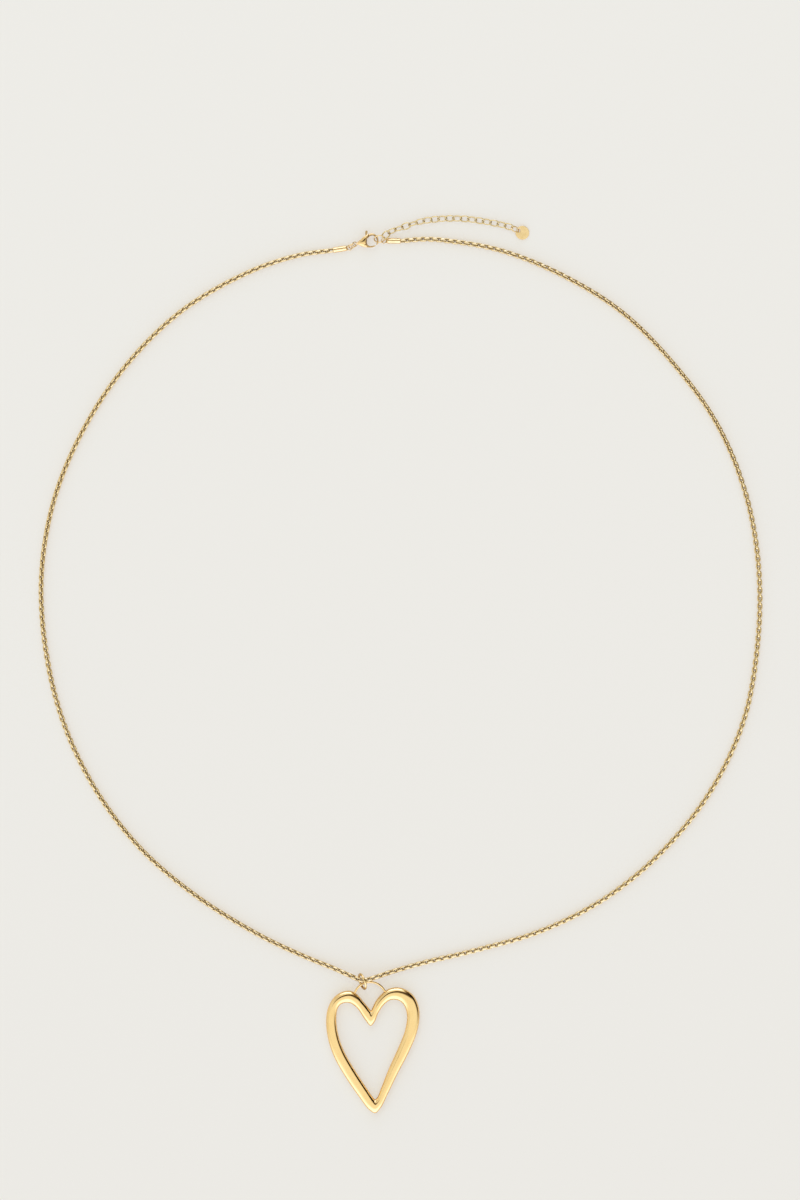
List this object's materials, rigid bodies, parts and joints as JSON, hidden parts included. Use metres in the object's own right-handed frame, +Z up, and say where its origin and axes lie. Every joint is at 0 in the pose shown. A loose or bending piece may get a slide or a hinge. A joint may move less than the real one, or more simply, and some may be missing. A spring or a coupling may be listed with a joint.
{
  "type": "pendant necklace",
  "caption": "Box chain necklace with an open heart pendant on a bail ring, a lobster clasp, and an extension chain with a round tag.",
  "frame": {"origin": "middle of the outer box of the necklace as it lies flat and closed, on the surface that it lies on", "axes": "+Z up from that surface, +Y from the heart's point to the clasp, +X to the right with the heart at the bottom"},
  "size_m": [0.2533, 0.314, 0.0058],
  "materials": {
    "heart_gold": "polished",
    "chain_gold": "polished",
    "cap_gold": "polished",
    "clasp_gold": "polished",
    "ring_gold": "polished",
    "extension_gold": "polished",
    "tag_gold": "polished"
  },
  "bodies": {
    "chain_right_01": {"chain_right_01": "chain_gold"},
    "chain_right_02": {"chain_right_02": "chain_gold"},
    "chain_right_03": {"chain_right_03": "chain_gold"},
    "chain_right_04": {"chain_right_04": "chain_gold"},
    "chain_right_05": {"chain_right_05": "chain_gold"},
    "chain_right_06": {"chain_right_06": "chain_gold"},
    "chain_right_07": {"chain_right_07": "chain_gold"},
    "chain_right_08": {"chain_right_08": "chain_gold"},
    "chain_right_09": {"chain_right_09": "chain_gold"},
    "chain_right_10": {"chain_right_10": "chain_gold"},
    "cap_right": {"cap_right": "cap_gold"},
    "chain_left_01": {"chain_left_01": "chain_gold"},
    "chain_left_02": {"chain_left_02": "chain_gold"},
    "chain_left_03": {"chain_left_03": "chain_gold"},
    "chain_left_04": {"chain_left_04": "chain_gold"},
    "chain_left_05": {"chain_left_05": "chain_gold"},
    "chain_left_06": {"chain_left_06": "chain_gold"},
    "chain_left_07": {"chain_left_07": "chain_gold"},
    "chain_left_08": {"chain_left_08": "chain_gold"},
    "chain_left_09": {"chain_left_09": "chain_gold"},
    "chain_left_10": {"chain_left_10": "chain_gold"},
    "cap_left": {"cap_left": "cap_gold"},
    "chain_bottom": {"chain_bottom": "chain_gold"},
    "jump_ring_left": {"jump_ring_left": "ring_gold"},
    "joining_ring": {"joining_ring": "ring_gold"},
    "clasp_lever": {"clasp_lever": "clasp_gold"},
    "tag_ring": {"tag_ring": "ring_gold"},
    "tag": {"tag": "tag_gold"},
    "bail_ring": {"bail_ring": "ring_gold"},
    "link_01": {"link_01": "extension_gold"},
    "link_02": {"link_02": "extension_gold"},
    "link_03": {"link_03": "extension_gold"},
    "link_04": {"link_04": "extension_gold"},
    "link_05": {"link_05": "extension_gold"},
    "link_06": {"link_06": "extension_gold"},
    "link_07": {"link_07": "extension_gold"},
    "link_08": {"link_08": "extension_gold"},
    "link_09": {"link_09": "extension_gold"},
    "link_10": {"link_10": "extension_gold"},
    "link_11": {"link_11": "extension_gold"},
    "link_12": {"link_12": "extension_gold"},
    "link_13": {"link_13": "extension_gold"},
    "link_14": {"link_14": "extension_gold"},
    "link_15": {"link_15": "extension_gold"},
    "link_16": {"link_16": "extension_gold"},
    "link_17": {"link_17": "extension_gold"},
    "link_18": {"link_18": "extension_gold"},
    "clasp": {"clasp_body": "clasp_gold", "clasp_pin": "clasp_gold"},
    "heart": {"heart_frame": "heart_gold", "bail_arch": "heart_gold"}
  },
  "joints": [
    {"name": "chain_right_01_bend", "type": "hinge", "parent": "chain_bottom", "child": "chain_right_01", "pos_m": [0.00387, -0.10567, 0.00103], "axis": [0, 0, 1], "range_deg": [-7, 12]},
    {"name": "chain_right_02_bend", "type": "hinge", "parent": "chain_right_01", "child": "chain_right_02", "pos_m": [0.04198, -0.09588, 0.00095], "axis": [0, 0, 1], "range_deg": [-6.9, 11.8]},
    {"name": "chain_right_03_bend", "type": "hinge", "parent": "chain_right_02", "child": "chain_right_03", "pos_m": [0.07694, -0.0782, 0.00095], "axis": [0, 0, 1], "range_deg": [-3.3, 5.6]},
    {"name": "chain_right_04_bend", "type": "hinge", "parent": "chain_right_03", "child": "chain_right_04", "pos_m": [0.10446, -0.05027, 0.00095], "axis": [0, 0, 1], "range_deg": [-2.7, 1.6]},
    {"name": "chain_right_05_bend", "type": "hinge", "parent": "chain_right_04", "child": "chain_right_05", "pos_m": [0.12124, -0.01492, 0.00095], "axis": [0, 0, 1], "range_deg": [-9.7, 5.7]},
    {"name": "chain_right_06_bend", "type": "hinge", "parent": "chain_right_05", "child": "chain_right_06", "pos_m": [0.12551, 0.02412, 0.00095], "axis": [0, 0, 1], "range_deg": [-13.3, 7.8]},
    {"name": "chain_right_07_bend", "type": "hinge", "parent": "chain_right_06", "child": "chain_right_07", "pos_m": [0.1195, 0.06286, 0.00095], "axis": [0, 0, 1], "range_deg": [-11.8, 6.9]},
    {"name": "chain_right_08_bend", "type": "hinge", "parent": "chain_right_07", "child": "chain_right_08", "pos_m": [0.10133, 0.09752, 0.00095], "axis": [0, 0, 1], "range_deg": [-5.6, 3.3]},
    {"name": "chain_right_09_bend", "type": "hinge", "parent": "chain_right_08", "child": "chain_right_09", "pos_m": [0.07387, 0.12553, 0.00095], "axis": [0, 0, 1], "range_deg": [-1.6, 2.6]},
    {"name": "chain_right_10_bend", "type": "hinge", "parent": "chain_right_09", "child": "chain_right_10", "pos_m": [0.03888, 0.14326, 0.00095], "axis": [0, 0, 1], "range_deg": [-5.1, 8.6]},
    {"name": "cap_right_bend", "type": "hinge", "parent": "chain_right_10", "child": "cap_right", "pos_m": [0.0001, 0.1479, 0.00095], "axis": [0, 0, 1], "range_deg": [-6.4, 10.9]},
    {"name": "chain_left_01_bend", "type": "hinge", "parent": "chain_bottom", "child": "chain_left_01", "pos_m": [-0.02992, -0.10398, 0.00104], "axis": [0, 0, 1], "range_deg": [-9.7, 5.7]},
    {"name": "chain_left_02_bend", "type": "hinge", "parent": "chain_left_01", "child": "chain_left_02", "pos_m": [-0.06052, -0.0886, 0.00095], "axis": [0, 0, 1], "range_deg": [-4.1, 2.4]},
    {"name": "chain_left_03_bend", "type": "hinge", "parent": "chain_left_02", "child": "chain_left_03", "pos_m": [-0.08781, -0.06793, 0.00095], "axis": [0, 0, 1], "range_deg": [-1.4, 2.4]},
    {"name": "chain_left_04_bend", "type": "hinge", "parent": "chain_left_03", "child": "chain_left_04", "pos_m": [-0.1087, -0.04088, 0.00095], "axis": [0, 0, 1], "range_deg": [-4.5, 7.6]},
    {"name": "chain_left_05_bend", "type": "hinge", "parent": "chain_left_04", "child": "chain_left_05", "pos_m": [-0.1215, -0.00917, 0.00095], "axis": [0, 0, 1], "range_deg": [-6.3, 10.7]},
    {"name": "chain_left_06_bend", "type": "hinge", "parent": "chain_left_05", "child": "chain_left_06", "pos_m": [-0.12589, 0.02477, 0.00095], "axis": [0, 0, 1], "range_deg": [-6.5, 11]},
    {"name": "chain_left_07_bend", "type": "hinge", "parent": "chain_left_06", "child": "chain_left_07", "pos_m": [-0.12098, 0.05858, 0.00095], "axis": [0, 0, 1], "range_deg": [-4.9, 8.3]},
    {"name": "chain_left_08_bend", "type": "hinge", "parent": "chain_left_07", "child": "chain_left_08", "pos_m": [-0.10663, 0.08964, 0.00095], "axis": [0, 0, 1], "range_deg": [-1.9, 3.2]},
    {"name": "chain_left_09_bend", "type": "hinge", "parent": "chain_left_08", "child": "chain_left_09", "pos_m": [-0.08511, 0.11622, 0.00095], "axis": [0, 0, 1], "range_deg": [-2.8, 1.7]},
    {"name": "chain_left_10_bend", "type": "hinge", "parent": "chain_left_09", "child": "chain_left_10", "pos_m": [-0.05679, 0.13529, 0.00095], "axis": [0, 0, 1], "range_deg": [-7.6, 4.5]},
    {"name": "cap_left_bend", "type": "hinge", "parent": "chain_left_10", "child": "cap_left", "pos_m": [-0.024, 0.1446, 0.00095], "axis": [0, 0, 1], "range_deg": [-10.4, 6.1]},
    {"name": "left_jump_ring_swing", "type": "hinge", "parent": "cap_left", "child": "jump_ring_left", "pos_m": [-0.01797, 0.14553, 0.00095], "axis": [0, 0, 1], "range_deg": [-2, 2]},
    {"name": "clasp_swing", "type": "hinge", "parent": "jump_ring_left", "child": "clasp", "pos_m": [-0.01618, 0.14664, 0.00168], "axis": [0, 0, 1], "range_deg": [-2, 2]},
    {"name": "trigger", "type": "hinge", "parent": "clasp", "child": "clasp_lever", "pos_m": [-0.01236, 0.14634, 0.00168], "axis": [0, 0, 1], "range_deg": [0, 16], "stiffness_Nm_per_rad": 0.0002, "springref_deg": -5.73},
    {"name": "joining_ring_swing", "type": "hinge", "parent": "cap_right", "child": "joining_ring", "pos_m": [-0.006, 0.14796, 0.00095], "axis": [0, 0, 1], "range_deg": [-2.5, 2.5]},
    {"name": "link_01_swing", "type": "hinge", "parent": "joining_ring", "child": "link_01", "pos_m": [-0.00613, 0.14901, 0.00238], "axis": [0, 0, 1], "range_deg": [-4, 10]},
    {"name": "link_02_swing", "type": "hinge", "parent": "link_01", "child": "link_02", "pos_m": [-0.00433, 0.15083, 0.00191], "axis": [0, 0, -1], "range_deg": [-10, 4]},
    {"name": "link_03_swing", "type": "hinge", "parent": "link_02", "child": "link_03", "pos_m": [-0.00196, 0.15178, 0.00141], "axis": [0, 0, 1], "range_deg": [-4, 10]},
    {"name": "link_04_swing", "type": "hinge", "parent": "link_03", "child": "link_04", "pos_m": [0.00051, 0.1526, 0.00123], "axis": [0, 0, -1], "range_deg": [-10, 4]},
    {"name": "link_05_swing", "type": "hinge", "parent": "link_04", "child": "link_05", "pos_m": [0.00297, 0.15346, 0.00115], "axis": [0, 0, 1], "range_deg": [-4, 10]},
    {"name": "link_06_swing", "type": "hinge", "parent": "link_05", "child": "link_06", "pos_m": [0.00544, 0.15431, 0.00111], "axis": [0, 0, -1], "range_deg": [-10, 4]},
    {"name": "link_07_swing", "type": "hinge", "parent": "link_06", "child": "link_07", "pos_m": [0.00797, 0.15491, 0.00106], "axis": [0, 0, 1], "range_deg": [-6, 10]},
    {"name": "link_08_swing", "type": "hinge", "parent": "link_07", "child": "link_08", "pos_m": [0.01055, 0.15531, 0.001], "axis": [0, 0, -1], "range_deg": [-10, 6]},
    {"name": "link_09_swing", "type": "hinge", "parent": "link_08", "child": "link_09", "pos_m": [0.01315, 0.15558, 0.00087], "axis": [0, 0, 1], "range_deg": [-6, 10]},
    {"name": "link_10_swing", "type": "hinge", "parent": "link_09", "child": "link_10", "pos_m": [0.01575, 0.15575, 0.00075], "axis": [0, 0, -1], "range_deg": [-10, 6]},
    {"name": "link_11_swing", "type": "hinge", "parent": "link_10", "child": "link_11", "pos_m": [0.01835, 0.1558, 0.00074], "axis": [0, 0, 1], "range_deg": [-6, 10]},
    {"name": "link_12_swing", "type": "hinge", "parent": "link_11", "child": "link_12", "pos_m": [0.02096, 0.15573, 0.00075], "axis": [0, 0, -1], "range_deg": [-10, 6]},
    {"name": "link_13_swing", "type": "hinge", "parent": "link_12", "child": "link_13", "pos_m": [0.02356, 0.15553, 0.00075], "axis": [0, 0, 1], "range_deg": [-10, 10]},
    {"name": "link_14_swing", "type": "hinge", "parent": "link_13", "child": "link_14", "pos_m": [0.02616, 0.15522, 0.00075], "axis": [0, 0, -1], "range_deg": [-10, 10]},
    {"name": "link_15_swing", "type": "hinge", "parent": "link_14", "child": "link_15", "pos_m": [0.02873, 0.15482, 0.00074], "axis": [0, 0, 1], "range_deg": [-10, 10]},
    {"name": "link_16_swing", "type": "hinge", "parent": "link_15", "child": "link_16", "pos_m": [0.0313, 0.15436, 0.00076], "axis": [0, 0, -1], "range_deg": [-10, 10]},
    {"name": "link_17_swing", "type": "hinge", "parent": "link_16", "child": "link_17", "pos_m": [0.03386, 0.15386, 0.0008], "axis": [0, 0, 1], "range_deg": [-10, 10]},
    {"name": "link_18_swing", "type": "hinge", "parent": "link_17", "child": "link_18", "pos_m": [0.0364, 0.15327, 0.00095], "axis": [0, 0, -1], "range_deg": [-10, 10]},
    {"name": "tag_ring_swing", "type": "hinge", "parent": "link_18", "child": "tag_ring", "pos_m": [0.03888, 0.15253, 0.00128], "axis": [0, 0, 1], "range_deg": [-12, 12]},
    {"name": "tag_swing", "type": "hinge", "parent": "tag_ring", "child": "tag", "pos_m": [0.04115, 0.15157, 0.00087], "axis": [0, 0, -1], "range_deg": [-15, 15]},
    {"name": "bail_ring_swing", "type": "hinge", "parent": "chain_bottom", "child": "bail_ring", "pos_m": [-0.0133, -0.1105, 0.0027], "axis": [0.9988, -0.0499, 0], "range_deg": [-25, 25]},
    {"name": "heart_swing", "type": "hinge", "parent": "bail_ring", "child": "heart", "pos_m": [-0.01362, -0.11201, 0.0018], "axis": [0.866, 0.5, 0], "range_deg": [-30, 90]}
  ],
  "couplings": [
    {"joint": "chain_right_02_bend", "follows": "chain_right_01_bend", "ratio": 0.9726},
    {"joint": "chain_right_03_bend", "follows": "chain_right_01_bend", "ratio": 0.4608},
    {"joint": "chain_right_04_bend", "follows": "chain_right_01_bend", "ratio": -0.216},
    {"joint": "chain_right_05_bend", "follows": "chain_right_01_bend", "ratio": -0.7981},
    {"joint": "chain_right_06_bend", "follows": "chain_right_01_bend", "ratio": -1.0971},
    {"joint": "chain_right_07_bend", "follows": "chain_right_01_bend", "ratio": -0.9739},
    {"joint": "chain_right_08_bend", "follows": "chain_right_01_bend", "ratio": -0.4591},
    {"joint": "chain_right_09_bend", "follows": "chain_right_01_bend", "ratio": 0.2075},
    {"joint": "chain_right_10_bend", "follows": "chain_right_01_bend", "ratio": 0.7099},
    {"joint": "cap_right_bend", "follows": "chain_right_01_bend", "ratio": 0.8963},
    {"joint": "chain_left_01_bend", "follows": "chain_right_01_bend", "ratio": -0.7968},
    {"joint": "chain_left_02_bend", "follows": "chain_right_01_bend", "ratio": -0.3322},
    {"joint": "chain_left_03_bend", "follows": "chain_right_01_bend", "ratio": 0.1903},
    {"joint": "chain_left_04_bend", "follows": "chain_right_01_bend", "ratio": 0.6228},
    {"joint": "chain_left_05_bend", "follows": "chain_right_01_bend", "ratio": 0.8833},
    {"joint": "chain_left_06_bend", "follows": "chain_right_01_bend", "ratio": 0.9116},
    {"joint": "chain_left_07_bend", "follows": "chain_right_01_bend", "ratio": 0.683},
    {"joint": "chain_left_08_bend", "follows": "chain_right_01_bend", "ratio": 0.2563},
    {"joint": "chain_left_09_bend", "follows": "chain_right_01_bend", "ratio": -0.229},
    {"joint": "chain_left_10_bend", "follows": "chain_right_01_bend", "ratio": -0.6279},
    {"joint": "cap_left_bend", "follows": "chain_right_01_bend", "ratio": -0.8585}
  ]
}
